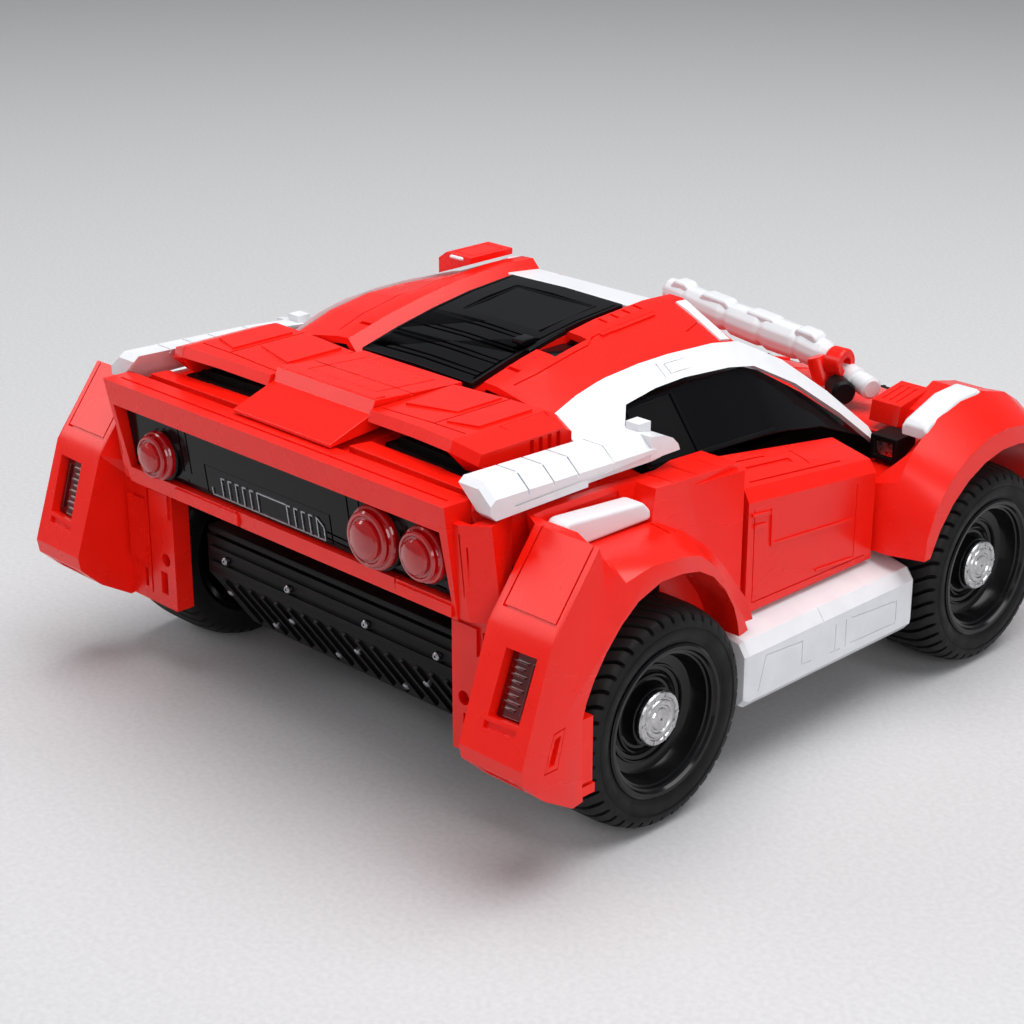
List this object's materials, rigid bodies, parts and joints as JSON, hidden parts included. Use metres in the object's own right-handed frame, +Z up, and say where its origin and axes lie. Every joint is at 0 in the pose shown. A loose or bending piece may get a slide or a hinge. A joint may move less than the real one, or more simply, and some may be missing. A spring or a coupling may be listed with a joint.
{
  "type": "remote control car",
  "caption": "Radio controlled toy racer with separate body shells, opening doors, steerable front wheels and a geared rear axle.",
  "frame": {"origin": "on the ground, halfway between the axles and between the sides, at the middle of the bounding box's bottom", "axes": "+Z up, the front of the car faces -Y, its left side is +X"},
  "size_m": [0.174, 0.218, 0.0985],
  "materials": {
    "red_plastic": "glossy moulded ABS",
    "white_plastic": "satin moulded ABS",
    "black_plastic": "fine textured",
    "gloss_black": "polished",
    "lamp_lens": "clear red lens",
    "tyre": "soft rubber",
    "rim_plastic": "polished black",
    "chrome": "bright",
    "steel": "turned",
    "nylon": "natural nylon",
    "battery_wrap": "shrink wrap",
    "circuit_board": "solder mask"
  },
  "bodies": {
    "root": {"rear_body": "red_plastic", "rear_bumper": "red_plastic", "rear_deck": "red_plastic", "deck_wing_right": "red_plastic", "deck_wing_left": "red_plastic", "roof_shell": "red_plastic", "roof_scoop": "red_plastic", "rear_fender_right": "red_plastic", "rear_fender_left": "red_plastic", "front_fender_right": "red_plastic", "front_fender_left": "red_plastic", "hood": "red_plastic", "front_bumper": "red_plastic", "side_frame_right": "white_plastic", "side_frame_left": "white_plastic", "side_skirt_right": "white_plastic", "side_skirt_left": "white_plastic", "shoulder_strut_right": "white_plastic", "shoulder_strut_left": "white_plastic", "cowl_arm": "white_plastic", "chassis_tray": "black_plastic", "chassis_cover": "black_plastic", "steering_servo": "black_plastic", "hub_carrier_right": "black_plastic", "hub_carrier_left": "black_plastic", "mirror_right": "black_plastic", "mirror_left": "black_plastic", "tail_panel": "gloss_black", "rear_louvre": "gloss_black", "cabin_glass": "gloss_black", "tail_light_left": "lamp_lens", "tail_light_right_inner": "lamp_lens", "tail_light_right_outer": "lamp_lens", "drive_motor": "steel", "battery_pack": "battery_wrap", "circuit_board": "circuit_board"},
    "rear_axle_set": {"rear_axle": "steel", "drive_gear": "nylon", "tyre_rear_right": "tyre", "rim_rear_right": "rim_plastic", "hub_cap_rear_right": "chrome", "tyre_rear_left": "tyre", "rim_rear_left": "rim_plastic", "hub_cap_rear_left": "chrome"},
    "pinion": {"motor_pinion": "steel"},
    "servo_arm": {"servo_horn": "nylon"},
    "track_rod": {"tie_rod": "black_plastic"},
    "steering_knuckle_right": {"knuckle_right": "black_plastic"},
    "steering_knuckle_left": {"knuckle_left": "black_plastic"},
    "front_wheel_right": {"tyre_front_right": "tyre", "rim_front_right": "rim_plastic", "hub_cap_front_right": "chrome"},
    "front_wheel_left": {"tyre_front_left": "tyre", "rim_front_left": "rim_plastic", "hub_cap_front_left": "chrome"},
    "right_door": {"door_right": "red_plastic"},
    "left_door": {"door_left": "red_plastic"},
    "hatch": {"battery_cover": "black_plastic"},
    "switch": {"power_switch": "black_plastic"}
  },
  "joints": [
    {"name": "rear_axle_spin", "type": "hinge", "parent": "root", "child": "rear_axle_set", "pos_m": [0, 0.061, 0.026], "axis": [1, 0, 0], "continuous": true},
    {"name": "pinion_spin", "type": "hinge", "parent": "root", "child": "pinion", "pos_m": [0.014, 0.0467, 0.026], "axis": [1, 0, 0], "continuous": true},
    {"name": "steer_right", "type": "hinge", "parent": "root", "child": "steering_knuckle_right", "pos_m": [-0.068, -0.061, 0.026], "axis": [0, 0, 1], "range_deg": [-15, 15]},
    {"name": "steer_left", "type": "hinge", "parent": "root", "child": "steering_knuckle_left", "pos_m": [0.068, -0.061, 0.026], "axis": [0, 0, 1], "range_deg": [-15, 15]},
    {"name": "servo_turn", "type": "hinge", "parent": "root", "child": "servo_arm", "pos_m": [0, -0.061, 0.032], "axis": [0, 0, 1], "range_deg": [-15, 15]},
    {"name": "tie_rod_slide", "type": "slide", "parent": "root", "child": "track_rod", "axis": [1, 0, 0], "range_m": [-0.0027, 0.0027]},
    {"name": "front_wheel_right_spin", "type": "hinge", "parent": "steering_knuckle_right", "child": "front_wheel_right", "pos_m": [-0.0715, -0.061, 0.026], "axis": [1, 0, 0], "continuous": true},
    {"name": "front_wheel_left_spin", "type": "hinge", "parent": "steering_knuckle_left", "child": "front_wheel_left", "pos_m": [0.0715, -0.061, 0.026], "axis": [1, 0, 0], "continuous": true},
    {"name": "door_right_hinge", "type": "hinge", "parent": "root", "child": "right_door", "pos_m": [-0.074, -0.0237, 0.05], "axis": [0, 0, 1], "range_deg": [0, 60]},
    {"name": "door_left_hinge", "type": "hinge", "parent": "root", "child": "left_door", "pos_m": [0.074, -0.0237, 0.05], "axis": [0, 0, -1], "range_deg": [0, 60]},
    {"name": "battery_cover_hinge", "type": "hinge", "parent": "root", "child": "hatch", "pos_m": [0, -0.032, 0.0121], "axis": [-1, 0, 0], "range_deg": [0, 85]},
    {"name": "switch_slide", "type": "slide", "parent": "root", "child": "switch", "axis": [0, 1, 0], "range_m": [0, 0.003]}
  ],
  "couplings": [
    {"joint": "pinion_spin", "follows": "rear_axle_spin", "ratio": -3},
    {"joint": "steer_left", "follows": "steer_right", "ratio": 1},
    {"joint": "servo_turn", "follows": "steer_right", "ratio": 1},
    {"joint": "tie_rod_slide", "follows": "steer_right", "m_per_rad": -0.01}
  ]
}
